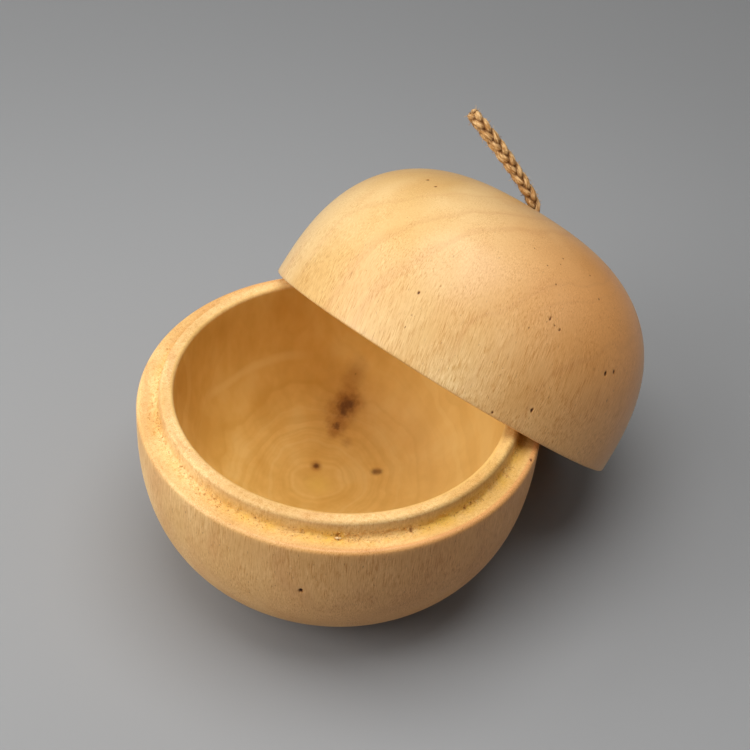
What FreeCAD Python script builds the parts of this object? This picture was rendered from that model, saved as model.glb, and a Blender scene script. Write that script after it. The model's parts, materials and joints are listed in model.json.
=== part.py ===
import FreeCAD, Part
import math
import os

# Yarn bowl: a wooden ball turned in two halves, with a braided loop to lift the lid by.
# Millimetres, +Z up. The origin is the centre of the flat foot that the bowl stands on.
# The lid leans on the bowl's rim towards +X, with the low side of its own rim on the ground.

Vector = FreeCAD.Vector

# ---- Driving dimensions ----------------------------------------------------------------

ball_radius = 75.0          # outside radius of both halves, at their rims

bowl_depth = 72.0           # foot to ledge
bowl_fullness = 2.9         # superellipse exponent of the outside: 2 is an ellipse
foot_radius = 25.0
bowl_floor = 14.0           # wood left under the hollow
hollow_fullness = 2.8

ledge_width = 8.4           # flat ring that the lid's rim shuts down on
spigot_wall = 5.3           # raised ring inside the ledge, which the lid's skirt goes over
spigot_height = 6.2
spigot_round = 1.6
mouth_round = 1.2
ledge_round = 1.6

lid_height = 73.0           # rim to crown
lid_fullness = 2.64
lid_wall = 11.5             # at the foot of the lid's hollow
crown_wall = 12.0
lid_hollow_fullness = 2.5
lid_fit = 0.8               # radial clearance of the skirt over the spigot
seat_gap = 0.6              # clearance above the spigot when the lid is shut
lead_in = 3.0               # chamfer at the mouth of the skirt
rim_round = 0.7
step_round = 0.8            # where the skirt's recess meets the hollow

cord_diameter = 4.6
leg_gap = 0.3               # between the two legs of the loop, in the hole
hole_clearance = 0.65       # round the two legs
hole_round = 2.0

knot_bearing = 2.2          # how far the knot reaches past the hole, all round
knot_height = 11.0
knot_round = 3.2
knot_gap = 0.3              # between the knot and the wood that it bears on

lean_tilt = 44.0            # degrees between the lid's axis and the vertical
lean_gap = 0.3              # left between the leaning lid and the bowl
level_gap = 4.4             # between the rim and the ledge once the lid has swung level

# The loop's centre line: up one leg from the knot, round the fold, and down the other leg.
# Each point is (out, side, spread): out along the lid's axis from the crown, side towards the
# way that the loop leans, and spread away from where the legs lie in the hole.
leg_up = [
    (-6.6, 0.25, 0.05),
    (-1.6, 0.0, 0.0),
    (3.2, 3.9, 0.25),
    (8.4, 14.2, 2.05),
    (13.5, 25.4, 4.45),
    (17.3, 36.0, 5.45),
    (18.9, 41.3, 2.45),
]
leg_down = [
    (19.1, 41.5, 2.35),
    (17.0, 36.2, 5.35),
    (13.2, 26.0, 4.55),
    (8.3, 14.4, 2.35),
    (3.3, 4.0, 0.25),
    (-1.6, 0.0, 0.0),
    (-6.6, 0.2, 0.05),
]
loop_lean = 118.0           # degrees about the lid's axis, from its +X side

# ---- Sizes that follow -----------------------------------------------------------------

spigot_radius = ball_radius - ledge_width
mouth_radius = spigot_radius - spigot_wall
skirt_radius = spigot_radius + lid_fit
recess_depth = spigot_height + seat_gap
lid_hollow_radius = ball_radius - lid_wall
lid_hollow_height = lid_height - crown_wall
bowl_top = bowl_depth + spigot_height
leg_offset = (cord_diameter + leg_gap) / 2.0        # from the hole's axis to each leg's centre
cord_hole_radius = leg_offset + cord_diameter / 2.0 + hole_clearance
knot_radius = cord_hole_radius + knot_bearing
tilt = math.radians(lean_tilt)


def superellipse(radius, height, fullness, first, last, count):
    """Points (r, z) of a quarter superellipse between two fractions of its quarter turn."""
    points = []
    for step in range(count):
        turn = math.radians(90.0) * (first + (last - first) * step / (count - 1))
        r = radius * max(math.cos(turn), 0.0) ** (2.0 / fullness)
        z = height * math.sin(turn) ** (2.0 / fullness)
        points.append((r, z))
    return points


def turn_at_radius(r, radius, fullness):
    """The fraction of the quarter turn where a superellipse has radius r."""
    return math.acos((r / radius) ** (fullness / 2.0)) / math.radians(90.0)


def turn_at_height(z, height, fullness):
    """The fraction of the quarter turn where a superellipse has height z."""
    return math.asin((z / height) ** (fullness / 2.0)) / math.radians(90.0)


def curve_edge(points):
    """A smooth edge through (r, z) points of a lathe outline."""
    spline = Part.BSplineCurve()
    spline.interpolate(Points=[Vector(r, 0, z) for r, z in points])
    return spline.toShape()


def line_edges(points):
    """Straight edges that join (r, z) points of a lathe outline."""
    edges = []
    for start, end in zip(points, points[1:]):
        edges.append(Part.makeLine(Vector(start[0], 0, start[1]), Vector(end[0], 0, end[1])))
    return edges


def turned(edges):
    """The solid that a closed outline sweeps about the Z axis."""
    wire = Part.Wire(Part.__sortEdges__(edges))
    return Part.Face(wire).revolve(Vector(0, 0, 0), Vector(0, 0, 1), 360.0)


def rings(shape, radius, height):
    """The circular edges of a turned solid at one radius and height."""
    found = []
    for edge in shape.Edges:
        if edge.Degenerated or not isinstance(edge.Curve, Part.Circle):
            continue
        curve = edge.Curve
        if abs(curve.Radius - radius) < 0.01 and abs(curve.Center.z - height) < 0.01:
            found.append(edge)
    return found


# ---- The bowl ---------------------------------------------------------------------------

def make_bowl():
    """The lower half: flat foot, ledge for the lid and raised spigot round the mouth."""
    flat = 1.0 - (foot_radius / ball_radius) ** bowl_fullness
    full_depth = bowl_depth / flat ** (1.0 / bowl_fullness)
    at_foot = turn_at_radius(foot_radius, ball_radius, bowl_fullness)
    outside = superellipse(ball_radius, full_depth, bowl_fullness, 0.0, at_foot, 18)
    outside = [(r, bowl_depth - z) for r, z in outside]
    hollow_depth = bowl_top - bowl_floor
    inside = superellipse(mouth_radius, hollow_depth, hollow_fullness, 0.0, 1.0, 18)
    inside = [(r, bowl_top - z) for r, z in inside]
    edges = [curve_edge(outside), curve_edge(inside)]
    edges += line_edges([outside[-1], (0.0, 0.0), inside[-1]])
    edges += line_edges([
        inside[0], (spigot_radius, bowl_top), (spigot_radius, bowl_depth), outside[0],
    ])
    solid = turned(edges)
    solid = solid.makeFillet(spigot_round, rings(solid, spigot_radius, bowl_top))
    solid = solid.makeFillet(mouth_round, rings(solid, mouth_radius, bowl_top))
    return solid.makeFillet(ledge_round, rings(solid, ball_radius, bowl_depth)).Solids[0]


# ---- The lid ----------------------------------------------------------------------------

def make_lid():
    """The upper half about its own axis, rim at z = 0, with the cord's hole in its crown."""
    at_hole = turn_at_radius(cord_hole_radius, ball_radius, lid_fullness)
    outside = superellipse(ball_radius, lid_height, lid_fullness, 0.0, at_hole, 18)
    from_recess = turn_at_height(recess_depth, lid_hollow_height, lid_hollow_fullness)
    to_hole = turn_at_radius(cord_hole_radius, lid_hollow_radius, lid_hollow_fullness)
    inside = superellipse(
        lid_hollow_radius, lid_hollow_height, lid_hollow_fullness, from_recess, to_hole, 18)
    edges = [curve_edge(outside), curve_edge(inside)]
    edges += line_edges([outside[-1], inside[-1]])
    edges += line_edges([
        inside[0], (skirt_radius, recess_depth), (skirt_radius, 0.0), outside[0],
    ])
    solid = turned(edges)
    solid = solid.makeChamfer(lead_in, rings(solid, skirt_radius, 0.0))
    solid = solid.makeFillet(rim_round, rings(solid, ball_radius, 0.0))
    solid = solid.makeFillet(step_round, rings(solid, inside[0][0], recess_depth))
    return solid.makeFillet(hole_round, rings(solid, cord_hole_radius, outside[-1][1])).Solids[0]


# ---- How the lid leans ------------------------------------------------------------------

def outline(solid, low, high):
    """Polygons of the section of a turned solid, and its points between two heights."""
    polygons = []
    for wire in solid.slice(Vector(0, 1, 0), 0.0):
        polygons.append([(p.x, p.z) for p in wire.discretize(Deflection=0.05)])
    points = [p for polygon in polygons for p in polygon if p[0] > 0 and low < p[1] < high]
    return polygons, points


def clearance(x, y, polygons):
    """Distance from a point to closed polygons, negative inside them."""
    nearest = math.inf
    inside = False
    for polygon in polygons:
        for (ax, ay), (bx, by) in zip(polygon, polygon[1:] + polygon[:1]):
            dx = bx - ax
            dy = by - ay
            span = dx * dx + dy * dy
            if span == 0.0:
                continue
            share = min(max(((x - ax) * dx + (y - ay) * dy) / span, 0.0), 1.0)
            nearest = min(nearest, math.hypot(x - ax - share * dx, y - ay - share * dy))
            if (ay > y) != (by > y) and x < ax + dx * (y - ay) / dy:
                inside = not inside
    return -nearest if inside else nearest


def lid_base(reach):
    """The centre of the leaning lid's rim, with the rim's rounded edge on the ground."""
    height = (ball_radius - rim_round) * math.sin(tilt) + rim_round * (1.0 - math.cos(tilt))
    return Vector(reach, 0, height)


def gap_when_leaning(reach, bowl_section, lid_section):
    """The least gap between bowl and lid when the lid's rim centre is at this reach."""
    bowl_polygons, bowl_points = bowl_section
    lid_polygons, lid_points = lid_section
    base = lid_base(reach)
    along = Vector(math.sin(tilt), 0, math.cos(tilt))
    down = Vector(math.cos(tilt), 0, -math.sin(tilt))
    least = math.inf
    for degrees in range(20, 111):
        turn = math.radians(degrees)
        for r, z in bowl_points:
            offset = Vector(r * math.cos(turn), r * math.sin(turn), z) - base
            axial = offset.dot(along)
            radial = math.sqrt(max(offset.dot(offset) - axial * axial, 0.0))
            least = min(least, clearance(radial, axial, lid_polygons))
    for degrees in range(70, 161):
        turn = math.radians(degrees)
        for r, z in lid_points:
            point = base + down * (r * math.cos(turn)) + along * z
            radial = math.hypot(point.x, r * math.sin(turn))
            least = min(least, clearance(radial, point.z, bowl_polygons))
    return least


def find_lean_reach(bowl, lid):
    """How far out the leaning lid's rim centre is when the lid just clears the bowl."""
    bowl_section = outline(bowl, bowl_depth - 2.0 * spigot_height, bowl_top + 1.0)
    lid_section = outline(lid, -1.0, recess_depth + 1.0)
    touching = 0.0
    free = 2.0 * ball_radius
    while free - touching > 0.01:
        middle = 0.5 * (touching + free)
        if gap_when_leaning(middle, bowl_section, lid_section) < lean_gap:
            touching = middle
        else:
            free = middle
    return free


def swing_pivot(base):
    """The fixed point, in the XZ plane, of the swing that brings the lid level over the bowl."""
    level = Vector(0, 0, bowl_depth + level_gap)
    chord = level - base
    middle = (base + level) * 0.5
    across = Vector(chord.z, 0, -chord.x).normalize()
    if across.z > 0:
        across = across * -1
    return middle + across * (chord.Length / 2.0 / math.tan(tilt / 2.0))


# ---- The cord ---------------------------------------------------------------------------

def cord_route():
    """The loop's points about the lid's own axis, rim at z = 0."""
    knot_face = lid_hollow_height - knot_gap
    turn = math.radians(loop_lean)
    side_way = Vector(math.cos(turn), math.sin(turn), 0)
    split_way = Vector(-math.sin(turn), math.cos(turn), 0)
    crown = Vector(0, 0, lid_height)
    route = [Vector(0, 0, knot_face) + split_way * leg_offset]
    for leg, way in ((leg_up, split_way), (leg_down, split_way * -1)):
        for out, side, spread in leg:
            across = way * (leg_offset + spread)
            route.append(crown + Vector(0, 0, out) + side_way * side + across)
    route.append(Vector(0, 0, knot_face) - split_way * leg_offset)
    return route


def cord_path(points):
    """Straight runs joined by tangent arcs, and the arcs' radii."""
    edges = []
    radii = []
    start = points[0]
    for before, corner, after in zip(points, points[1:], points[2:]):
        back = before - corner
        ahead = after - corner
        half_turn = 0.5 * (math.pi - back.getAngle(ahead))
        cut = 0.45 * min(back.Length, ahead.Length)
        radius = cut / math.tan(half_turn)
        radii.append(radius)
        arc_start = corner + back.normalize() * cut
        arc_end = corner + ahead.normalize() * cut
        middle = (back + ahead).normalize()
        arc_middle = corner + middle * (math.hypot(radius, cut) - radius)
        edges.append(Part.LineSegment(start, arc_start).toShape())
        edges.append(Part.Arc(arc_start, arc_middle, arc_end).toShape())
        start = arc_end
    edges.append(Part.LineSegment(start, points[-1]).toShape())
    return Part.Wire(edges), radii


def make_cord():
    """The braided loop as a plain round tube, both legs ending on the knot's face."""
    points = cord_route()
    path, radii = cord_path(points)
    first_run = points[1] - points[0]
    section = Part.Wire(Part.makeCircle(cord_diameter / 2.0, points[0], first_run))
    tube = path.makePipeShell([section], True, False)
    area = math.pi * cord_diameter ** 2 / 4.0
    print("cord radii mm", [round(radius, 1) for radius in radii])
    print("cord length mm", round(path.Length, 1), "volume share", tube.Volume / area / path.Length)
    return tube


def make_knot():
    """The knot that holds both legs of the loop under the lid's crown."""
    top = lid_hollow_height - knot_gap
    knot = Part.makeCylinder(knot_radius, knot_height, Vector(0, 0, top - knot_height))
    ends = rings(knot, knot_radius, top) + rings(knot, knot_radius, top - knot_height)
    return knot.makeFillet(knot_round, ends).Solids[0]


# ---- Assembly ---------------------------------------------------------------------------

def leaned(shape, base):
    """A shape about the lid's own axis, moved to where the lid leans."""
    turn = FreeCAD.Rotation(Vector(0, 1, 0), lean_tilt)
    placed = shape.copy()
    placed.Placement = FreeCAD.Placement(base, turn).multiply(shape.Placement)
    return placed


def main():
    """Make each piece where it lies and write one STEP file for it."""
    bowl = make_bowl()
    lid = make_lid()
    base = lid_base(find_lean_reach(bowl, lid))
    pieces = {
        "bowl": bowl,
        "lid": leaned(lid, base),
        "handle_cord": leaned(make_cord(), base),
        "stopper_knot": leaned(make_knot(), base),
    }
    os.makedirs("parts", exist_ok=True)
    for name, shape in pieces.items():
        box = shape.optimalBoundingBox(False)
        print(name, shape.ShapeType, "valid", shape.isValid(), "volume", round(shape.Volume, 1))
        print("  from", round(box.XMin, 2), round(box.YMin, 2), round(box.ZMin, 2),
              "to", round(box.XMax, 2), round(box.YMax, 2), round(box.ZMax, 2))
        shape.exportStep(os.path.join("parts", name + ".step"))
    pivot = swing_pivot(base)
    turn = FreeCAD.Rotation(Vector(0, 1, 0), lean_tilt)
    route = [base + turn.multVec(point) for point in cord_route()]
    print("lid rim centre", tuple(round(v, 3) for v in base))
    print("swing pivot", tuple(round(v, 3) for v in pivot))
    print("cord points", [tuple(round(v, 2) for v in point) for point in route])


main()
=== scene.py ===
"""The looks of a turned wooden yarn bowl: two halves of pale wood and a plaited lifting loop.

Everything is in metres in the row frame unless a name says mm. The lid's own frame has its
origin at the centre of the lid's rim and Z along the lid's axis, out through the crown.
"""

from __future__ import annotations

import enum
import json
import logging
import math
from dataclasses import dataclass
from typing import Any, Iterable, Sequence

import bmesh
import bpy
import numpy as np
from mathutils import Matrix, Vector

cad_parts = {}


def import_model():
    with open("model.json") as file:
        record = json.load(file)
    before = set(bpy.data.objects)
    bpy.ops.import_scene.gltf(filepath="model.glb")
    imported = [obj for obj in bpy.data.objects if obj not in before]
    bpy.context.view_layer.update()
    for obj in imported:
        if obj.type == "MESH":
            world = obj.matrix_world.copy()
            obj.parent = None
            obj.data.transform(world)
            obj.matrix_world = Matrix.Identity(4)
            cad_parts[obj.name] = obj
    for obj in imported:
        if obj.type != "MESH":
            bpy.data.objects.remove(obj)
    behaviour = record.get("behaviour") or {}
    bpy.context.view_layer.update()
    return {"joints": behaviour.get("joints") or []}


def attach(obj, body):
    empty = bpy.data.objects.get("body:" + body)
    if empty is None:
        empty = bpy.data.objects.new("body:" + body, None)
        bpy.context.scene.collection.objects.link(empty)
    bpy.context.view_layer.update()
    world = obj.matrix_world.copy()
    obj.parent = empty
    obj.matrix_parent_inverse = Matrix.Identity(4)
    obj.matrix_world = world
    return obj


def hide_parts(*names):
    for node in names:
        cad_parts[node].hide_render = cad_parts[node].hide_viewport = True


MM = 0.001
LOG = logging.getLogger("yarn_bowl")
Colour = tuple[float, float, float]
Point = tuple[float, float, float]


# ---- Node trees ---------------------------------------------------------------------------

class Sock:
    """An output socket that Python's arithmetic works on, by adding Math nodes."""

    def __init__(self, book: NodeBook, socket: bpy.types.NodeSocket) -> None:
        """Remember the socket and the book that its nodes are added to."""
        self.book = book
        self.socket = socket

    def _math(self, operation: str, *values: Any) -> Sock:
        """Add one Math node with these values and give its result."""
        return self.book.add("ShaderNodeMath", {"operation": operation},
                             dict(enumerate(values)))["Value"]

    def __add__(self, other: Any) -> Sock:
        """Sum."""
        return self._math("ADD", self, other)

    def __radd__(self, other: Any) -> Sock:
        """Sum, reflected."""
        return self._math("ADD", other, self)

    def __sub__(self, other: Any) -> Sock:
        """Difference."""
        return self._math("SUBTRACT", self, other)

    def __rsub__(self, other: Any) -> Sock:
        """Difference, reflected."""
        return self._math("SUBTRACT", other, self)

    def __mul__(self, other: Any) -> Sock:
        """Product."""
        return self._math("MULTIPLY", self, other)

    def __rmul__(self, other: Any) -> Sock:
        """Product, reflected."""
        return self._math("MULTIPLY", other, self)

    def __truediv__(self, other: Any) -> Sock:
        """Quotient."""
        return self._math("DIVIDE", self, other)

    def __rtruediv__(self, other: Any) -> Sock:
        """Quotient, reflected."""
        return self._math("DIVIDE", other, self)

    def __pow__(self, other: Any) -> Sock:
        """Power."""
        return self._math("POWER", self, other)

    def root(self) -> Sock:
        """Square root."""
        return self._math("SQRT", self)

    def wave(self) -> Sock:
        """Sine."""
        return self._math("SINE", self)

    def turn(self) -> Sock:
        """Cosine."""
        return self._math("COSINE", self)

    def whole(self) -> Sock:
        """The whole number at or below this value."""
        return self._math("FLOOR", self)

    def between(self, low: float, high: float) -> Sock:
        """Smooth rise from 0 at low to 1 at high, or a fall when high is the lower of the two.

        Args:
            low: The value that gives 0.
            high: The value that gives 1.

        Returns:
            The smoothed share.
        """
        return self.book.add(
            "ShaderNodeMapRange",
            {"interpolation_type": "SMOOTHSTEP"},
            {"Value": self, "From Min": low, "From Max": high},
        )["Result"]


class Blend(enum.Enum):
    """How one colour is laid over another."""

    MIX = "MIX"
    MULTIPLY = "MULTIPLY"


class Placed:
    """A node that has been added, whose outputs are read by name or number."""

    def __init__(self, book: NodeBook, node: bpy.types.Node) -> None:
        """Remember the node and its book."""
        self.book = book
        self.node = node

    def __getitem__(self, name: str | int) -> Sock:
        """One output of the node."""
        return Sock(self.book, self.node.outputs[name])


class NodeBook:
    """Adds nodes to one tree and links them."""

    def __init__(self, tree: bpy.types.NodeTree) -> None:
        """Start with this tree."""
        self.tree = tree

    def add(self, kind: str, settings: dict[str, Any] | None = None,
            sockets: dict[str | int, Any] | None = None) -> Placed:
        """Add one node.

        Args:
            kind: The node's type.
            settings: Its settings, which are set first.
            sockets: A value or a link for each input, by name or number.

        Returns:
            The node, ready to be read from.
        """
        node = self.tree.nodes.new(kind)
        for name, value in (settings or {}).items():
            setattr(node, name, value)
        for name, value in (sockets or {}).items():
            if isinstance(value, Sock):
                self.tree.links.new(value.socket, node.inputs[name])
            else:
                node.inputs[name].default_value = value
        return Placed(self, node)

    def scaled(self, where: Sock, sizes: Point, start: Point = (0.0, 0.0, 0.0)) -> Sock:
        """Divide a place by a size along each axis, and move it.

        Args:
            where: The place.
            sizes: The size along each axis.
            start: What is added after that.

        Returns:
            The scaled place.
        """
        share = tuple(1.0 / size for size in sizes)
        return self.add("ShaderNodeVectorMath", {"operation": "MULTIPLY_ADD"},
                        {0: where, 1: share, 2: start})["Vector"]

    def noise(self, where: Sock, sizes: Point, seed: float, detail: float = 2.0,
              rough: float = 0.5) -> Sock:
        """Noise whose cells have these sizes.

        Args:
            where: The place that it is read at.
            sizes: The cells' size along each axis, in the place's own unit.
            seed: Moves the pattern.
            detail: How many finer layers it has.
            rough: How strong the finer layers are.

        Returns:
            A value near 0.5, from 0 to 1.
        """
        spot = self.scaled(where, sizes, (seed, -seed, 0.37 * seed))
        return self.add("ShaderNodeTexNoise", {"noise_dimensions": "3D"},
                        {"Vector": spot, "Scale": 1.0, "Detail": detail,
                         "Roughness": rough})["Fac"]

    def blend(self, share: Sock | float, under: Sock | Colour, over: Sock | Colour,
              mode: Blend = Blend.MIX) -> Sock:
        """Lay one colour over another.

        Args:
            share: How much of the upper colour shows.
            under: The lower colour.
            over: The upper colour.
            mode: How the two are mixed.

        Returns:
            The mixed colour.
        """
        colours = {key: value if isinstance(value, Sock) else (*value, 1.0)
                   for key, value in ((6, under), (7, over))}
        return self.add("ShaderNodeMix", {"data_type": "RGBA", "blend_type": mode.value},
                        {0: share, **colours})[2]

    def towards(self, where: Sock, way: Point) -> Sock:
        """How far a place lies along a direction."""
        return self.add("ShaderNodeVectorMath", {"operation": "DOT_PRODUCT"},
                        {0: where, 1: way})["Value"]

    def distance(self, where: Sock) -> Sock:
        """How far a place lies from the middle."""
        return self.add("ShaderNodeVectorMath", {"operation": "LENGTH"}, {0: where})["Value"]

    def surface(self, sockets: dict[str | int, Any]) -> None:
        """End a material with a Principled shader that has these sockets."""
        shader = self.add("ShaderNodeBsdfPrincipled", {}, sockets)
        self.add("ShaderNodeOutputMaterial", {}, {"Surface": shader["BSDF"]})


class Recipe:
    """A Geometry Nodes tree with named inputs, which makes one kind of mesh."""

    def __init__(self, name: str, inputs: dict[str, str]) -> None:
        """Start a tree.

        Args:
            name: The tree's name.
            inputs: The socket type of each named input, after the geometry.
        """
        self.tree = bpy.data.node_groups.new(name, "GeometryNodeTree")
        self.tree.interface.new_socket("Geometry", in_out="INPUT",
                                       socket_type="NodeSocketGeometry")
        for title, kind in inputs.items():
            self.tree.interface.new_socket(title, in_out="INPUT", socket_type=kind)
        self.tree.interface.new_socket("Geometry", in_out="OUTPUT",
                                       socket_type="NodeSocketGeometry")
        self.book = NodeBook(self.tree)
        self.given = self.book.add("NodeGroupInput")

    def finish(self, shape: Sock) -> None:
        """End the tree with Realize Instances and Set Material.

        Args:
            shape: The geometry so far.
        """
        real = self.book.add("GeometryNodeRealizeInstances", {}, {"Geometry": shape})
        dressed = self.book.add("GeometryNodeSetMaterial", {},
                                {"Geometry": real["Geometry"],
                                 "Material": self.given["Finish"]})
        self.book.add("NodeGroupOutput", {}, {"Geometry": dressed["Geometry"]})

    def make(self, name: str, source: bpy.types.Mesh,
             values: dict[str, Any]) -> bpy.types.Object:
        """Run the tree on a mesh and keep the plain result.

        Args:
            name: The finished piece's name.
            source: The mesh that the tree starts from.
            values: A value for each named input.

        Returns:
            The finished piece, with no modifier left on it.
        """
        blank = new_object(name + "_source", source)
        modifier = blank.modifiers.new("recipe", "NODES")
        modifier.node_group = self.tree
        for item in self.tree.interface.items_tree:
            if item.in_out == "INPUT" and item.name in values:
                modifier[item.identifier] = values[item.name]
        piece = new_object(name, settled(blank))
        bpy.data.objects.remove(blank)
        return piece


def settled(source: bpy.types.Object) -> bpy.types.Mesh:
    """The plain mesh of an object as its modifiers or its curve make it.

    Args:
        source: The object.

    Returns:
        A new mesh.
    """
    graph = bpy.context.evaluated_depsgraph_get()
    return bpy.data.meshes.new_from_object(
        source.evaluated_get(graph), preserve_all_data_layers=True, depsgraph=graph)


def new_object(name: str, data: bpy.types.ID) -> bpy.types.Object:
    """Put an object that holds this data at the origin.

    Args:
        name: The object's name.
        data: Its mesh, curve, light or camera.

    Returns:
        The object.
    """
    made = bpy.data.objects.new(name, data)
    bpy.context.scene.collection.objects.link(made)
    return made


# ---- Finishes -----------------------------------------------------------------------------

def blank_material(name: str) -> tuple[bpy.types.Material, NodeBook]:
    """Start a material.

    Args:
        name: The material's name.

    Returns:
        The material, with an empty tree, and the book that adds nodes to it.
    """
    made = bpy.data.materials.new(name)
    made.use_nodes = True
    made.node_tree.nodes.clear()
    return made, NodeBook(made.node_tree)


@dataclass(frozen=True)
class Knot:
    """A dark knot or spot that shows in the wood, in the half's own millimetres."""

    place: Point
    core: float
    halo: float
    strength: float = 1.0
    stretch: Point = (1.0, 1.0, 1.0)
    ragged: float = 0.4
    tint: Colour = (0.30, 0.100, 0.013)
    heart: Colour = (0.085, 0.022, 0.004)


@dataclass(frozen=True)
class Grain:
    """What a place on the wood is like: the parts it belongs to and the patterns there."""

    own: Sock
    inside: Sock
    outside: Sock
    rim: Sock
    seam: Sock
    hurt: Sock
    bare: Sock
    broad: Sock
    cloud: Sock
    rings: Sock
    line: Sock
    fibre: Sock
    hair: Sock
    fleck: Sock
    dots: Sock


@dataclass(frozen=True)
class TurnedWood:
    """Pale turned wood, whose rings run round a pith line along the turning axis.

    Places and distances are in the half's own millimetres.
    """

    name: str
    seed: float
    origin: Point = (0.0, 0.0, 0.0)
    tilt: float = 0.0
    pith: tuple[float, float] = (27.0, 21.0)
    knots: tuple[Knot, ...] = ()
    pale: Colour = (0.84, 0.56, 0.25)
    straw: Colour = (0.76, 0.455, 0.165)
    tan: Colour = (0.60, 0.285, 0.085)
    warm: Colour = (0.70, 0.33, 0.095)
    blush: Colour = (0.56, 0.235, 0.080)
    pore: Colour = (0.30, 0.115, 0.032)
    # amber: the torn corner's own colour, laid on more strongly at the front as painted shade in
    # the cove.
    amber: Colour = (0.84, 0.475, 0.080)
    hollow: Colour = (0.775, 0.480, 0.122)
    deep: Colour = (0.60, 0.310, 0.048)
    sand: Colour = (0.87, 0.615, 0.225)
    # pit_edge is the torn wood's own reddish brown; the pit floor colour below it is painted
    # shade deep in each hole.
    pit_edge: Colour = (0.40, 0.15, 0.035)
    pit_floor_shade: Colour = (0.045, 0.012, 0.003)
    shade: Colour = (0.83, 0.71, 0.55)
    shine: Colour = (1.09, 1.14, 1.24)
    # The two rim tints: painted shade on the rim's right side, away from the lamps, and a painted
    # highlight on its left side.
    rim_shade_tint: Colour = (0.95, 0.99, 0.86)
    rim_highlight_tint: Colour = (0.99, 1.04, 1.12)
    # warm_side, warm_reach and warmth: painted shade and painted highlight over the wood's own
    # tone, darker and redder towards the side away from the main lamps, paler towards them.
    warm_side: Point = (0.68, -0.73, 0.0)
    warm_reach: tuple[float, float] = (-30.0, 70.0)
    warmth: float = 0.5
    # lit_side and lit_reach: painted light in the hollow, paler on the wall that faces the main
    # lamps.
    lit_side: Point = (0.68, -0.73, 0.0)
    lit_reach: tuple[float, float] = (-10.0, 58.0)
    mottle: float = 0.2
    polish: float = 0.67
    slant: Point = (0.0, 0.0, 0.0)
    coarse: tuple[float, float] = (0.0, 60.0)

    def material(self) -> bpy.types.Material:
        """Build the material.

        Returns:
            The finished material.
        """
        made, book = blank_material(self.name)
        grain = self._grain(book)
        colour = self._skin(book, grain)
        colour = self._streaked(book, grain, colour)
        colour = self._hollowed(book, grain, colour)
        colour = self._rimmed(book, grain, colour)
        for knot in self.knots:
            colour = self._knot(book, grain.own, knot, colour)
        # Painted light: the hollow is paler, in the sand colour, on its wall that faces the main
        # lamps.
        lit = book.towards(grain.own, self.lit_side).between(*self.lit_reach)
        colour = book.blend(grain.inside * lit * 0.34, colour, self.sand)
        # The pits: the torn wood's own reddish brown at their edges, and near black on their
        # floors as painted shade in the hole.
        colour = book.blend(grain.hurt.between(0.0, 0.45) * 0.65, colour, self.pit_edge)
        colour = book.blend(grain.hurt.between(0.30, 0.85), colour, self.pit_floor_shade)
        coat = (self.polish * grain.outside + 0.03) * (1.0 - 0.8 * grain.rim)
        book.surface({
            "Base Color": colour,
            "Roughness": (0.48 + 0.12 * grain.fibre + 0.16 * grain.seam + 0.06 * grain.inside
                          + 0.3 * grain.hurt),
            "Normal": self._relief(book, grain), "Specular IOR Level": 0.16,
            "Coat Weight": coat * (1.0 - grain.hurt), "Coat Roughness": 0.32})
        return made

    def _grain(self, book: NodeBook) -> Grain:
        """Read what each place on the wood is like.

        Args:
            book: The material's nodes.

        Returns:
            Its masks and patterns.
        """
        where = book.add("ShaderNodeTexCoord")["Object"]
        own = book.add("ShaderNodeMapping", {"vector_type": "TEXTURE"},
                       {"Vector": where, "Location": self.origin,
                        "Rotation": (0.0, self.tilt, 0.0), "Scale": (MM, MM, MM)})["Vector"]
        inside, seam, hurt = (book.add("ShaderNodeAttribute", {"attribute_name": name})["Fac"]
                              for name in ("inside", "seam", "pit"))
        outside = 1.0 - inside
        rim = inside.between(0.0, 0.02) * outside
        strand = book.add("ShaderNodeMapping", {"vector_type": "TEXTURE"},
                          {"Vector": own, "Rotation": self.slant})["Vector"]
        thick = book.noise(own, (9.0, 9.0, 14.0), self.seed + 43.0, 2.0).between(0.30, 0.62)
        lively = book.towards(own, (0.0, 0.0, 1.0)).between(*self.coarse)
        rings, line = self._rings(book, own)
        return Grain(
            own=own, inside=inside, outside=outside, rim=rim, seam=seam, hurt=hurt,
            bare=((0.12 + 0.88 * outside) * (0.45 + 0.55 * thick) * (1.0 - 0.25 * rim)
                  * (0.58 + 0.42 * lively)),
            broad=book.noise(own, (48.0, 48.0, 60.0), self.seed, 2.0),
            cloud=book.noise(own, (15.0, 15.0, 30.0), self.seed + 7.0, 3.0, 0.6),
            rings=rings, line=line,
            fibre=book.noise(strand, (0.42, 0.42, 6.2), self.seed + 3.0, 2.0, 0.6),
            hair=book.noise(strand, (0.33, 0.33, 3.8), self.seed + 31.0, 1.0),
            fleck=book.noise(strand, (0.62, 0.62, 2.2), self.seed + 11.0, 1.0),
            dots=book.noise(own, (0.80, 0.80, 0.95), self.seed + 19.0, 2.0, 0.7))

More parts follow.
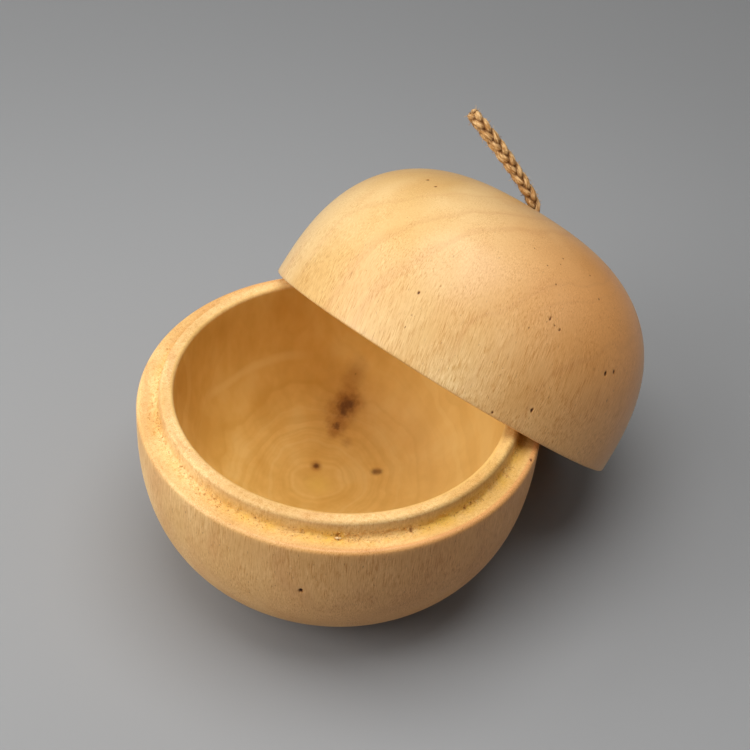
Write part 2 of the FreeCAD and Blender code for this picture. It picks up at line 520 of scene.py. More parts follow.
    def _rings(self, book: NodeBook, own: Sock) -> tuple[Sock, Sock]:
        """The broad bands and the thin dark lines of the growth rings.

        Args:
            book: The material's nodes.
            own: The place in the half's own millimetres.

        Returns:
            The bands, near 0.5, and the lines, from 0 to 1.
        """
        parts = book.add("ShaderNodeSeparateXYZ", {}, {0: own})
        drift = book.noise(own, (26.0, 26.0, 60.0), self.seed + 23.0, 2.0) - 0.5
        ripple = book.noise(own, (9.0, 9.0, 18.0), self.seed + 29.0, 1.0) - 0.5
        away_x = parts["X"] - self.pith[0]
        away_y = parts["Y"] - self.pith[1]
        reach = (away_x ** 2.0 + away_y ** 2.0).root() + drift * 16.0 + ripple * 1.6
        bands = book.add("ShaderNodeTexNoise", {"noise_dimensions": "1D"},
                         {"W": reach * 0.20 + self.seed, "Scale": 1.0, "Detail": 2.0})["Fac"]
        wave = (reach * 1.7 + bands * 9.0).wave()
        patchy = book.noise(own, (14.0, 14.0, 20.0), self.seed + 37.0, 1.0)
        return bands, wave.between(0.0, 1.0) * patchy.between(0.36, 0.60)

    def _skin(self, book: NodeBook, grain: Grain) -> Sock:
        """The broad colours of the wood, without its fibres, with painted shade and painted
        highlight from side to side.

        Args:
            book: The material's nodes.
            grain: What the place is like.

        Returns:
            The colour.
        """
        # Painted light over the wood's own tone: the warm colour darkens and reddens the side
        # away from the main lamps as painted shade, and the pale colour left on the lamps' side
        # stands in for part of the highlight.
        warm = (book.towards(grain.own, self.warm_side).between(*self.warm_reach)
                * (1.0 - 0.8 * grain.rim))
        colour = book.blend(grain.broad.between(0.38, 0.64), self.pale, self.straw)
        colour = book.blend(warm * self.warmth, colour, self.warm)
        colour = book.blend(grain.cloud.between(0.42, 0.72) * self.mottle, colour, self.tan)
        return book.blend(grain.rings.between(0.5, 0.8) * 0.26, colour, self.blush)

    def _streaked(self, book: NodeBook, grain: Grain, colour: Sock) -> Sock:
        """Darken and lighten the wood along its fibres, and crumble its rim.

        Args:
            book: The material's nodes.
            grain: What the place is like.
            colour: The colour so far.

        Returns:
            The new colour.
        """
        crumb = book.noise(grain.own, (1.25, 1.25, 1.0), self.seed + 53.0, 3.0, 0.75)
        for share, tint in (
                (grain.fibre.between(0.50, 0.68) * grain.bare, self.shade),
                (grain.fibre.between(0.47, 0.32) * grain.bare, self.shine),
                (grain.hair.between(0.52, 0.70) * grain.bare * 0.9, self.shade),
                (grain.hair.between(0.46, 0.32) * grain.bare * 0.6, self.shine),
                (grain.dots.between(0.52, 0.32) * grain.bare * 0.6, self.shine)):
            colour = book.blend(share, colour, tint, Blend.MULTIPLY)
        colour = book.blend(grain.fleck.between(0.68, 0.80) * grain.bare * 0.7, colour, self.pore)
        colour = book.blend(crumb.between(0.50, 0.68) * grain.rim * 0.75, colour, self.shade,
                            Blend.MULTIPLY)
        return book.blend(crumb.between(0.48, 0.32) * grain.rim * 0.8, colour, self.shine,
                          Blend.MULTIPLY)

    def _hollowed(self, book: NodeBook, grain: Grain, colour: Sock) -> Sock:
        """Colour the hollow, with its clouds, rings and a pale arc.

        Args:
            book: The material's nodes.
            grain: What the place is like.
            colour: The colour so far.

        Returns:
            The new colour.
        """
        for share, tint in (
                (0.86, self.hollow),
                (grain.cloud.between(0.42, 0.70) * 0.40, self.deep),
                (grain.cloud.between(0.50, 0.30) * 0.34, self.sand),
                (grain.rings.between(0.47, 0.66) * 0.24, self.deep),
                (grain.rings.between(0.45, 0.28) * 0.24, self.sand),
                (grain.line * 0.09, self.deep),
                (self._pale_arc(book, grain.own) * 0.5, self.sand)):
            colour = book.blend(grain.inside * share, colour, tint)
        return colour

    def _pale_arc(self, book: NodeBook, own: Sock) -> Sock:
        """A soft pale line round part of the hollow, at one height.

        Args:
            book: The material's nodes.
            own: The place in the half's own millimetres.

        Returns:
            How much of the line shows.
        """
        drift = book.noise(own, (22.0, 22.0, 22.0), self.seed + 47.0, 1.0) - 0.5
        height = book.towards(own, (0.0, 0.0, 1.0)) + drift * 5.0
        patch = book.towards(own, (0.17, 0.98, 0.0)).between(49.0, 56.0)
        return height.between(42.0, 44.2) * height.between(47.6, 45.0) * patch

    def _rimmed(self, book: NodeBook, grain: Grain, colour: Sock) -> Sock:
        """Lay painted light on the rim from side to side, and colour the torn corner in it, with
        painted shade in its cove at the front.

        Args:
            book: The material's nodes.
            grain: What the place is like.
            colour: The colour so far.

        Returns:
            The new colour.
        """
        front = book.towards(grain.own, (0.0, -1.0, 0.0)).between(-10.0, 35.0)
        right = book.towards(grain.own, (0.9, -0.44, 0.0)).between(-40.0, 50.0)
        # The torn corner's own amber, stronger towards the front as painted shade in the cove
        # between ledge and spigot.
        amber = grain.seam * (0.25 + 0.75 * grain.cloud.between(0.40, 0.62)) * (0.3 + 0.7 * front)
        colour = book.blend(amber, colour, self.amber)
        # Painted light: the rim is duller towards the right, as painted shade, and whiter towards
        # the left, as a painted highlight.
        colour = book.blend(grain.rim * right * 0.9, colour, self.rim_shade_tint, Blend.MULTIPLY)
        colour = book.blend(grain.rim * (1.0 - right) * 0.9, colour, self.rim_highlight_tint,
                            Blend.MULTIPLY)
        return book.blend(grain.seam.between(0.25, 0.8) * grain.dots.between(0.56, 0.72) * 0.75,
                          colour, self.pore)

    @staticmethod
    def _knot(book: NodeBook, own: Sock, knot: Knot, colour: Sock) -> Sock:
        """Paint one knot with its ragged core and soft halo.

        Args:
            book: The material's nodes.
            own: The place in the half's own millimetres.
            knot: The knot.
            colour: The colour so far.

        Returns:
            The new colour.
        """
        moved = book.add("ShaderNodeVectorMath", {"operation": "SUBTRACT"},
                         {0: own, 1: knot.place})["Vector"]
        ragged = book.noise(own, (0.30 * knot.halo,) * 3, knot.place[0], 3.0, 0.6) - 0.5
        reach = (book.distance(book.scaled(moved, knot.stretch))
                 + ragged * (knot.ragged * knot.halo))
        colour = book.blend(reach.between(knot.halo, 0.0) * 0.78 * knot.strength,
                            colour, knot.tint)
        return book.blend(reach.between(knot.core, 0.15 * knot.core) * 0.74 * knot.strength,
                          colour, knot.heart)

    @staticmethod
    def _relief(book: NodeBook, grain: Grain) -> Sock:
        """The fine relief of the fibres, as a normal."""
        height = ((grain.fibre * 0.9 + grain.hair * 0.5) * grain.bare
                  + grain.dots * (0.4 * grain.bare + 1.5 * grain.seam))
        return book.add("ShaderNodeBump", {}, {
            "Strength": 0.26, "Distance": 0.0003,
            "Height": height - grain.fleck.between(0.70, 0.82)})["Normal"]


@dataclass(frozen=True)
class CordFibre:
    """Natural fibre, spun into strands and plaited."""

    name: str
    bright: Colour = (0.92, 0.68, 0.42)
    light: Colour = (0.76, 0.47, 0.20)
    warm: Colour = (0.46, 0.215, 0.055)
    # dark serves both the fibre's own dark threads and the painted shade between strands.
    dark: Colour = (0.14, 0.050, 0.010)
    seed: float = 4.0

    def material(self) -> bpy.types.Material:
        """Build the material.

        Returns:
            The finished material.
        """
        made, book = blank_material(self.name)
        along = book.add("ShaderNodeUVMap", {"uv_map": "strand"})["UV"]
        deep = book.add("ShaderNodeAttribute", {"attribute_name": "deep"})["Fac"]
        threads = book.noise(along, (2.2, 0.055, 1.0), self.seed, 2.0, 0.6)
        patches = book.noise(along, (1.6, 0.6, 1.0), self.seed + 5.0, 2.0)
        colour = book.blend(patches.between(0.40, 0.60), self.light, self.warm)
        colour = book.blend(threads.between(0.50, 0.70) * 0.6, colour, self.dark)
        colour = book.blend(threads.between(0.48, 0.30) * 0.55, colour, self.bright)
        # Painted shade: darker where a point lies deep inside the plait, in the gaps between
        # strands.
        colour = book.blend(deep.between(0.05, 0.75) * 0.95, colour, self.dark)
        bump = book.add("ShaderNodeBump", {}, {"Strength": 0.5, "Distance": 0.0003,
                                               "Height": threads})["Normal"]
        book.surface({"Base Color": colour, "Roughness": 0.66 + 0.2 * threads,
                      "Normal": bump, "Specular IOR Level": 0.18})
        return made


@dataclass(frozen=True)
class Splinters:
    """The pale, dull fibres of torn wood."""

    name: str
    light: Colour = (0.86, 0.60, 0.25)
    dark: Colour = (0.62, 0.30, 0.06)
    patch: float = 1.1

    def material(self) -> bpy.types.Material:
        """Build the material.

        Returns:
            The finished material.
        """
        made, book = blank_material(self.name)
        where = book.add("ShaderNodeTexCoord")["Object"]
        each = book.noise(where, (self.patch * MM,) * 3, 6.0, 1.0)
        colour = book.blend(each.between(0.38, 0.62), self.light, self.dark)
        book.surface({"Base Color": colour, "Roughness": 0.75, "Specular IOR Level": 0.15})
        return made


@dataclass(frozen=True)
class GreyGround:
    """A plain, pale, matt ground, paler near the object and a little darker away from it, as a
    painted pool of light.
    """

    name: str
    near: Colour = (0.3087, 0.3108, 0.3129)
    far: Colour = (0.2646, 0.2664, 0.2682)
    fade: tuple[float, float] = (0.12, 0.42)

    def material(self) -> bpy.types.Material:
        """Build the material.

        Returns:
            The finished material.
        """
        made, book = blank_material(self.name)
        away = book.distance(book.add("ShaderNodeTexCoord")["Object"])
        # Painted light: paler near the object, darker away from it.
        colour = book.blend(away.between(*self.fade), self.near, self.far)
        book.surface({"Base Color": colour, "Roughness": 0.85, "Specular IOR Level": 0.25})
        return made


# ---- The turned halves ----------------------------------------------------------------------

class Zone(enum.Enum):
    """Which part of a half a point of its outline belongs to, with its share of the hollow."""

    OUTSIDE = 0.0
    RIM = 0.02
    MOUTH = 0.35
    HOLLOW = 1.0


@dataclass(frozen=True)
class Stop:
    """One point of a lathe outline, in millimetres."""

    r: float
    z: float
    zone: Zone = Zone.OUTSIDE


@dataclass(frozen=True)
class Pit:
    """A small hole or torn spot, placed by its angle, radius and height in millimetres."""

    angle: float
    radius: float
    height: float
    width: float = 1.1
    depth: float = 0.5
    dark: float = 0.9


def quarter(radius: float, height: float, fullness: float, first: float, last: float,
            count: int) -> list[tuple[float, float]]:
    """Points of a quarter superellipse.

    Args:
        radius: The radius at its foot.
        height: Its height.
        fullness: Its exponent; 2 is an ellipse.
        first: Where it starts, as a share of the quarter turn.
        last: Where it ends.
        count: How many points.

    Returns:
        (r, z) points.
    """
    found = []
    for step in range(count):
        turn = 0.5 * math.pi * (first + (last - first) * step / (count - 1))
        found.append((radius * max(math.cos(turn), 0.0) ** (2.0 / fullness),
                      height * math.sin(turn) ** (2.0 / fullness)))
    return found


def partner(share: float, fullness: float) -> float:
    """The other side of a point on a superellipse, where both are shares of the largest."""
    return (1.0 - share ** fullness) ** (1.0 / fullness)


def evenly(points: Sequence[tuple[float, float]], spacing: float) -> list[tuple[float, float]]:
    """Take points at an even spacing along an outline, with both its ends.

    Args:
        points: The outline, finely divided.
        spacing: About how far apart the points taken are.

    Returns:
        (r, z) points.
    """
    line = np.array(points)
    steps = np.hypot(*np.diff(line, axis=0).T)
    run = np.concatenate(([0.0], np.cumsum(steps)))
    count = max(int(run[-1] / spacing), 2)
    marks = np.linspace(0.0, run[-1], count + 1)
    return list(zip(np.interp(marks, run, line[:, 0]), np.interp(marks, run, line[:, 1])))


def corner(centre: tuple[float, float], radius: float, first: float, last: float,
           count: int) -> list[tuple[float, float]]:
    """Points of an arc.

    Args:
        centre: The (r, z) of its centre.
        radius: Its radius.
        first: The angle that it starts at, in degrees.
        last: The angle that it ends at.
        count: How many steps it has.

    Returns:
        (r, z) points.
    """
    turns = [math.radians(first + (last - first) * k / count) for k in range(count + 1)]
    return [(centre[0] + radius * math.cos(turn), centre[1] + radius * math.sin(turn))
            for turn in turns]


def turning_recipe() -> Recipe:
    """A tree that turns an outline about Z and gives it the soft relief of hand work.

    Returns:
        The recipe. Its mesh is the outline, in metres, with "inside" and "seam" on its points.
    """
    recipe = Recipe("turned half", {
        "Segments": "NodeSocketInt", "Waviness": "NodeSocketFloat",
        "Wave Size": "NodeSocketFloat", "Torn Depth": "NodeSocketFloat",
        "Torn Size": "NodeSocketFloat", "Seed": "NodeSocketFloat",
        "Finish": "NodeSocketMaterial",
    })
    book = recipe.book
    outline = recipe.given["Geometry"]
    count = book.add("GeometryNodeAttributeDomainSize", {"component": "MESH"},
                     {0: outline})["Point Count"]
    around = recipe.given["Segments"] + 1.0
    sheet = book.add("GeometryNodeMeshGrid", {}, {"Vertices X": count, "Vertices Y": around})
    index = book.add("GeometryNodeInputIndex")["Index"]
    row = (index / around).whole()
    turn = (index - row * around) / recipe.given["Segments"] * (2.0 * math.pi)

    def sampled(value: Sock, kind: str) -> Sock:
        """A value of the outline's point that this row comes from."""
        return book.add("GeometryNodeSampleIndex", {"data_type": kind},
                        {"Geometry": outline, "Value": value, "Index": row})["Value"]

    spot = sampled(book.add("GeometryNodeInputPosition")["Position"], "FLOAT_VECTOR")
    parts = book.add("ShaderNodeSeparateXYZ", {}, {0: spot})
    placed = book.add("ShaderNodeCombineXYZ", {}, {
        "X": parts["X"] * turn.turn(), "Y": parts["X"] * turn.wave() * -1.0,
        "Z": parts["Z"]})["Vector"]
    shape = book.add("GeometryNodeSetPosition", {},
                     {"Geometry": sheet["Mesh"], "Position": placed})["Geometry"]
    for name in ("inside", "seam"):
        value = book.add("GeometryNodeInputNamedAttribute", {"data_type": "FLOAT"},
                         {"Name": name})["Attribute"]
        shape = book.add("GeometryNodeStoreNamedAttribute",
                         {"data_type": "FLOAT", "domain": "POINT"},
                         {"Geometry": shape, "Name": name,
                          "Value": sampled(value, "FLOAT")})["Geometry"]
    shape = book.add("GeometryNodeMergeByDistance", {},
                     {"Geometry": shape, "Distance": 2e-6})["Geometry"]
    here = book.add("GeometryNodeInputPosition")["Position"]
    normal = book.add("GeometryNodeInputNormal")["Normal"]
    seam = book.add("GeometryNodeInputNamedAttribute", {"data_type": "FLOAT"},
                    {"Name": "seam"})["Attribute"]

    def rough(size: str) -> Sock:
        """Noise on the shape with the cell size of a named input."""
        grown = book.add("ShaderNodeVectorMath", {"operation": "SCALE"},
                         {0: here, "Scale": 1.0 / recipe.given[size]})["Vector"]
        return book.add("ShaderNodeTexNoise", {"noise_dimensions": "4D"},
                        {"Vector": grown, "W": recipe.given["Seed"], "Scale": 1.0,
                         "Detail": 2.0})["Fac"]

    sink = (rough("Wave Size") * recipe.given["Waviness"]
            + rough("Torn Size").between(0.42, 0.75) * seam * recipe.given["Torn Depth"])
    inward = book.add("ShaderNodeVectorMath", {"operation": "SCALE"},
                      {0: normal, "Scale": sink * -1.0})["Vector"]
    shape = book.add("GeometryNodeSetPosition", {},
                     {"Geometry": shape, "Offset": inward})["Geometry"]
    shape = book.add("GeometryNodeSetShadeSmooth", {}, {"Geometry": shape})["Geometry"]
    recipe.finish(shape)
    return recipe


def fibre_recipe() -> Recipe:
    """A tree that scatters fine curved fibres over a surface.

    Returns:
        The recipe. The fibres stand where the surface's "fuzz" attribute is above 0.
    """
    recipe = Recipe("fibres", {
        "Density": "NodeSocketFloat", "Length": "NodeSocketFloat",
        "Thickness": "NodeSocketFloat", "Lean": "NodeSocketFloat",
        "Seed": "NodeSocketInt", "Finish": "NodeSocketMaterial",
    })
    book, given = recipe.book, recipe.given
    fuzz = book.add("GeometryNodeInputNamedAttribute", {"data_type": "FLOAT"},
                    {"Name": "fuzz"})["Attribute"]
    spots = book.add("GeometryNodeDistributePointsOnFaces", {"distribute_method": "RANDOM"},
                     {"Mesh": given["Geometry"], "Density": fuzz * given["Density"],
                      "Seed": given["Seed"]})
    line = book.add("GeometryNodeCurveQuadraticBezier", {},
                    {"Resolution": 5, "Start": (0.0, 0.0, -0.08), "Middle": (0.0, 0.0, 0.55),
                     "End": (0.42, 0.0, 0.86)})["Curve"]
    share = book.add("GeometryNodeSplineParameter")["Factor"]
    line = book.add("GeometryNodeSetCurveRadius", {},
                    {"Curve": line, "Radius": 1.0 - share * 0.75})["Curve"]
    ring = book.add("GeometryNodeCurvePrimitiveCircle", {"mode": "RADIUS"},
                    {"Resolution": 4,
                     "Radius": 0.5 * given["Thickness"] / given["Length"]})["Curve"]
    fibre = book.add("GeometryNodeCurveToMesh", {},
                     {"Curve": line, "Profile Curve": ring, "Fill Caps": True})["Mesh"]
    low = book.add("ShaderNodeCombineXYZ", {}, {"X": given["Lean"] * -1.0,
                                                "Y": given["Lean"] * -1.0, "Z": 0.0})["Vector"]
    high = book.add("ShaderNodeCombineXYZ", {}, {"X": given["Lean"], "Y": given["Lean"],
                                                 "Z": 2.0 * math.pi})["Vector"]
    lean = book.add("FunctionNodeRandomValue", {"data_type": "FLOAT_VECTOR"},
                    {0: low, 1: high, "Seed": given["Seed"]})[0]
    turned = book.add("FunctionNodeRotateRotation", {"rotation_space": "LOCAL"},
                      {"Rotation": spots["Rotation"],
                       "Rotate By": book.add("FunctionNodeEulerToRotation", {},
                                             {"Euler": lean})["Rotation"]})["Rotation"]
    size = book.add("FunctionNodeRandomValue", {"data_type": "FLOAT"},
                    {2: 0.45, 3: 1.25, "Seed": given["Seed"]})[1]
    grown = book.add("GeometryNodeInstanceOnPoints", {},
                     {"Points": spots["Points"], "Instance": fibre, "Rotation": turned,
                      "Scale": size * given["Length"]})["Instances"]
    recipe.finish(grown)
    return recipe


@dataclass(frozen=True)
class Fibres:
    """Scattered fibres: how many stand on a square metre, and their sizes in millimetres."""

    density: float
    length: float
    thickness: float
    lean: float
    seed: int

    def inputs(self, finish: bpy.types.Material) -> dict[str, Any]:
        """The fibre tree's named inputs, with this finish."""
        return {"Density": self.density, "Length": self.length * MM,
                "Thickness": self.thickness * MM, "Lean": self.lean, "Seed": self.seed,
                "Finish": finish}


@dataclass(frozen=True)
class Relief:
    """The soft relief of hand work, in millimetres. The torn grain lies round a corner."""

    waviness: float
    wave_size: float
    torn_depth: float
    torn_size: float
    torn_reach: float
    seed: float

    def inputs(self, segments: int, finish: bpy.types.Material) -> dict[str, Any]:
        """The turning tree's named inputs, with this many segments and this finish."""
        return {"Segments": segments, "Waviness": self.waviness * MM,
                "Wave Size": self.wave_size * MM, "Torn Depth": self.torn_depth * MM,
                "Torn Size": self.torn_size * MM, "Seed": self.seed, "Finish": finish}


def fibres_on(piece: bpy.types.Object, name: str, fuzz: np.ndarray, recipe: Recipe,
              values: dict[str, Any]) -> bpy.types.Object:
    """Grow fibres on a piece.

    Args:
        piece: The piece, which stays as it is.
        name: The name of the fibres' own piece.
        fuzz: How dense the fibres are at each of the piece's points, from 0 to 1.
        recipe: The tree that scatters fibres.
        values: The tree's named inputs.

    Returns:
        The fibres.
    """
    bare = piece.data.copy()
    mark = bare.attributes.new("fuzz", "FLOAT", "POINT")
    mark.data.foreach_set("value", fuzz.astype(np.float32))
    grown = recipe.make(name, bare, values)
    bpy.data.meshes.remove(bare)
    return grown


def outline_mesh(stops: Sequence[Stop], seam_at: tuple[float, float],
                 seam_width: float) -> bpy.types.Mesh:
    """A line mesh of an outline, in metres, with its zones on its points.

    Args:
        stops: The outline's points in order.
        seam_at: The (r, z) of the inner corner where the grain is torn.
        seam_width: How far the torn grain reaches from it.

    Returns:
        The mesh.
    """
    mesh = bpy.data.meshes.new("outline")
    mesh.from_pydata([(stop.r * MM, 0.0, stop.z * MM) for stop in stops],
                     [(k, k + 1) for k in range(len(stops) - 1)], [])
    inside = mesh.attributes.new("inside", "FLOAT", "POINT")
    inside.data.foreach_set("value", [stop.zone.value for stop in stops])
    seam = mesh.attributes.new("seam", "FLOAT", "POINT")
    shares = [max(1.0 - math.hypot(stop.r - seam_at[0], stop.z - seam_at[1]) / seam_width, 0.0)
              for stop in stops]
    seam.data.foreach_set("value", shares)
    return mesh


def on_half(angle: float, radius: float, height: float) -> Vector:
    """A place on a half, in metres.

    Args:
        angle: Its angle in degrees.
        radius: Its radius in millimetres.
        height: Its height in millimetres.

    Returns:
        The place.
    """
    turn = math.radians(angle)
    return Vector((radius * math.cos(turn), radius * math.sin(turn), height)) * MM


def carve_pits(piece: bpy.types.Object, pits: Sequence[Pit]) -> None:
    """Refine the mesh round each pit, sink it and mark its dark floor, which the wood colours
    with the torn wood's own brown and with painted shade.

    Args:
        piece: A half, in its own frame.
        pits: The pits.
    """
    places = [on_half(pit.angle, pit.radius, pit.height) for pit in pits]
    work = bmesh.new()
    work.from_mesh(piece.data)
    mark = work.verts.layers.float.new("pit")
    for place, pit in zip(places, pits):
        reach = (0.9 * pit.width + 0.8) * MM
        edges = {edge for face in work.faces
                 if (face.calc_center_median() - place).length < reach
                 for edge in face.edges}
        bmesh.ops.subdivide_edges(work, edges=list(edges), cuts=3, use_grid_fill=True)
    work.normal_update()
    randomly = np.random.default_rng(11)
    for place, pit in zip(places, pits):
        sink_pit(work, mark, place, pit, randomly)
    bmesh.ops.triangulate(work, faces=[face for face in work.faces if len(face.verts) > 4])
    work.to_mesh(piece.data)
    work.free()
    for polygon in piece.data.polygons:
        polygon.use_smooth = True


def sink_pit(work: bmesh.types.BMesh, mark: bmesh.types.BMLayerItem, place: Vector, pit: Pit,
             randomly: np.random.Generator) -> None:
    """Sink one pit with a ragged edge.

    Args:
        work: The mesh, which is fine enough round the pit.
        mark: The layer that says how dark each point is.
        place: Where the pit is, in metres.
        pit: The pit.
        randomly: Where its raggedness comes from.
    """
    stretch = Vector((1.0, 1.0, float(randomly.uniform(0.55, 0.8))))
    near = [vertex for vertex in work.verts
            if (vertex.co - place).length < 1.8 * pit.width * MM]
    if not near:
        return
    heart = min(near, key=lambda vertex: (vertex.co - place).length).co.copy()
    for vertex in near:
        reach = (vertex.co - heart) * stretch
        share = reach.length / (0.5 * pit.width * MM) + float(randomly.uniform(-0.2, 0.2))
        deep = max(1.0 - share ** 2 / 1.7, 0.0)
        vertex[mark] = max(vertex[mark], min(1.5 * deep, 1.0) * pit.dark)
        vertex.co -= vertex.normal * (deep * pit.depth * MM)


def outward(mesh: bpy.types.Mesh) -> None:
    """Turn a closed mesh's faces outwards if they point in.

    Args:
        mesh: The mesh.
    """
    mesh.calc_loop_triangles()
    spots = np.array([vertex.co for vertex in mesh.vertices], float).reshape(-1, 3)
    corners = np.array([tri.vertices for tri in mesh.loop_triangles])
    a, b, c = spots[corners[:, 0]], spots[corners[:, 1]], spots[corners[:, 2]]
    if float(np.einsum("ij,ij->i", a, np.cross(b, c)).sum()) < 0.0:
        mesh.flip_normals()


@dataclass
class BowlHalf:
    """The lower half: foot, ledge, raised spigot and hollow. Sizes are millimetres.

    The ledge line goes from the ledge up the spigot. Its points are measured out from the
    spigot's wall and up from the ledge. The chip's place is an angle, a radius and a height.
    """

    ball_radius: float = 75.0
    depth: float = 72.0
    fullness: float = 2.9
    foot_radius: float = 25.0
    foot_rings: tuple[float, ...] = (0.0, 5.0, 11.0, 17.0, 21.5, 24.0, 24.7)
    spigot_radius: float = 66.6
    spigot_height: float = 6.2
    spigot_top: tuple[float, ...] = (2.3, 3.1, 3.7)
    edge_round: float = 1.6
    ledge_line: tuple[tuple[float, float], ...] = (
        (5.8, -0.07), (4.8, -0.2), (3.8, -0.38), (2.9, -0.5), (2.2, -0.5), (1.7, -0.44),
        (1.3, -0.3), (1.0, -0.07), (0.8, 0.22), (0.65, 0.6), (0.53, 1.1), (0.42, 1.7),
        (0.32, 2.3), (0.22, 3.0), (0.12, 3.7), (0.02, 4.3))
    mouth_radius: float = 61.3
    lip_round: float = 1.2
    floor: float = 14.0
    hollow_fullness: float = 2.8
    segments: int = 540
    relief: Relief = Relief(0.06, 17.0, 0.6, 1.5, 5.0, 3.0)
    torn_corner: tuple[float, float] = (67.6, 71.9)
    torn: Fibres = Fibres(1.1e6, 0.85, 0.16, 1.2, 5)
    chip: tuple[float, float, float] = (-137.0, 68.0, 72.15)
    chip_size: tuple[float, float, float] = (0.42, 1.25, 0.16)
    chip_tilt: float = 0.5
    pits: tuple[Pit, ...] = (
        Pit(-137.0, 67.5, 71.9, 1.6, 0.5, 0.25), Pit(-115.0, 67.5, 72.0, 1.2, 0.5, 0.5),
        Pit(-96.0, 67.4, 72.1, 1.1, 0.35, 0.45), Pit(-93.5, 67.4, 72.2, 0.9, 0.3, 0.4),
        Pit(-67.0, 74.0, 71.9, 1.2, 0.5, 0.6), Pit(-146.0, 72.7, 50.0, 1.4, 0.5, 0.8))
    finish: TurnedWood = TurnedWood(
        # warm_reach and warmth spread the painted shade over most of the bowl and leave its left
        # side, where the lamps fall, paler.
        "bowl wood", 2.0, pith=(5.6, 13.0), pale=(0.90, 0.575, 0.24),
        tan=(0.66, 0.29, 0.090), warm=(0.76, 0.345, 0.105), warm_reach=(-75.0, 45.0),
        warmth=0.8, mottle=0.34, polish=0.30,
        knots=(Knot((5.6, 13.0, 14.4), 0.2, 8.0, 0.5, tint=(0.86, 0.60, 0.13)),
               Knot((38.0, 29.0, 27.0), 0.3, 17.0, 0.30, (1.3, 0.9, 1.3), 0.6),
               Knot((37.5, 28.5, 26.0), 5.6, 9.8, 1.0, (1.35, 0.85, 1.1), 0.7),
               Knot((29.8, 26.5, 21.0), 2.4, 6.4, 0.8, ragged=0.7),
               Knot((26.5, 25.5, 19.4), 0.3, 3.6, 0.5, ragged=0.6),
               Knot((44.5, 31.5, 37.0), 0.4, 7.5, 0.55, (1.6, 0.8, 1.6)),
               Knot((28.0, 19.0, 18.0), 0.8, 3.6, 0.5),
               Knot((11.5, 20.0, 15.4), 1.9, 3.4, 1.0, ragged=0.2),
               Knot((27.0, 0.1, 16.2), 1.7, 2.6, 0.85, ragged=0.2),
               Knot((26.0, 1.3, 15.9), 1.8, 2.8, 0.9, ragged=0.2)))
    splinters: Splinters = Splinters("torn wood")
    split_wood: Splinters = Splinters("split wood", (0.84, 0.60, 0.30), (0.76, 0.48, 0.20))

    def outline(self) -> list[Stop]:
        """Draw the outline from the middle of the foot round to the middle of the hollow.

        Returns:
            Its points in order.
        """
        top = self.depth + self.spigot_height
        wall, edge, lip = self.spigot_radius, self.edge_round, self.lip_round
        foot_share = self.foot_radius / self.ball_radius
        full = self.depth / partner(foot_share, self.fullness)
        at_foot = math.acos(foot_share ** (self.fullness / 2.0)) / (0.5 * math.pi)
        skin = [(r, self.depth - z) for r, z in
                quarter(self.ball_radius, full, self.fullness, at_foot, 0.0, 900)]
        skin = [spot for spot in skin if spot[1] < self.depth - edge - 0.1]
        stops = [Stop(r, 0.0) for r in self.foot_rings]
        stops += [Stop(r, z) for r, z in evenly(skin, 2.0)]
        stops += [Stop(r, z) for r, z in
                  corner((self.ball_radius - edge - 0.05, self.depth - edge), edge,
                         2.0, 90.0, 6)]
        stops += [Stop(wall + out, self.depth + up, Zone.RIM) for out, up in self.ledge_line]
        stops += [Stop(r, z, Zone.RIM) for r, z in
                  corner((wall - edge, top - edge), edge, 6.0, 90.0, 7)]
        stops += [Stop(wall - inset, top, Zone.RIM) for inset in self.spigot_top]
        stops += [Stop(r, z, Zone.MOUTH) for r, z in
                  corner((self.mouth_radius + lip + 0.05, top - lip), lip, 92.0, 178.0, 6)]
        hollow = [(r, top - z) for r, z in quarter(
            self.mouth_radius, top - self.floor, self.hollow_fullness, 0.0, 1.0, 900)]
        hollow = [spot for spot in hollow if spot[1] < top - lip - 0.2]
        stops += [Stop(r, z, Zone.HOLLOW) for r, z in evenly(hollow, 2.1)]
        return stops

    def build(self, recipe: Recipe, fibres: Recipe) -> list[bpy.types.Object]:
        """Turn the half, carve its pits and dress its torn corner.

        Args:
            recipe: The tree that turns an outline.
            fibres: The tree that scatters fibres.

        Returns:
            The finished half, its torn fibres and its chip.
        """
        line = outline_mesh(self.outline(), self.torn_corner, self.relief.torn_reach)
        piece = recipe.make("bowl_half", line,
                            self.relief.inputs(self.segments, self.finish.material()))
        outward(piece.data)
        rough = self.torn_fibres(piece, fibres)
        carve_pits(piece, self.pits)
        chip = self.flake()
        for part in (piece, rough, chip):
            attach(part, "bowl")
        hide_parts("bowl")
        return [piece, rough, chip]

    def torn_fibres(self, piece: bpy.types.Object, fibres: Recipe) -> bpy.types.Object:
        """Grow short fibres in patches along the torn corner.

        Args:
            piece: The turned half, before its pits.
            fibres: The tree that scatters fibres.

        Returns:
            The fibres.
        """
        seam = np.zeros(len(piece.data.vertices), np.float32)
        piece.data.attributes["seam"].data.foreach_get("value", seam)
        spots = np.array([vertex.co for vertex in piece.data.vertices])
        turns = np.degrees(np.arctan2(spots[:, 1], spots[:, 0]))
        patchy = 0.55 + 0.45 * np.sin(np.radians(5.0 * turns + 40.0)) * np.sin(
            np.radians(13.0 * turns))
        return fibres_on(piece, "torn_fibres", np.clip((seam - 0.35) * 2.0, 0.0, 1.0) * patchy,
                         fibres, self.torn.inputs(self.splinters.material()))

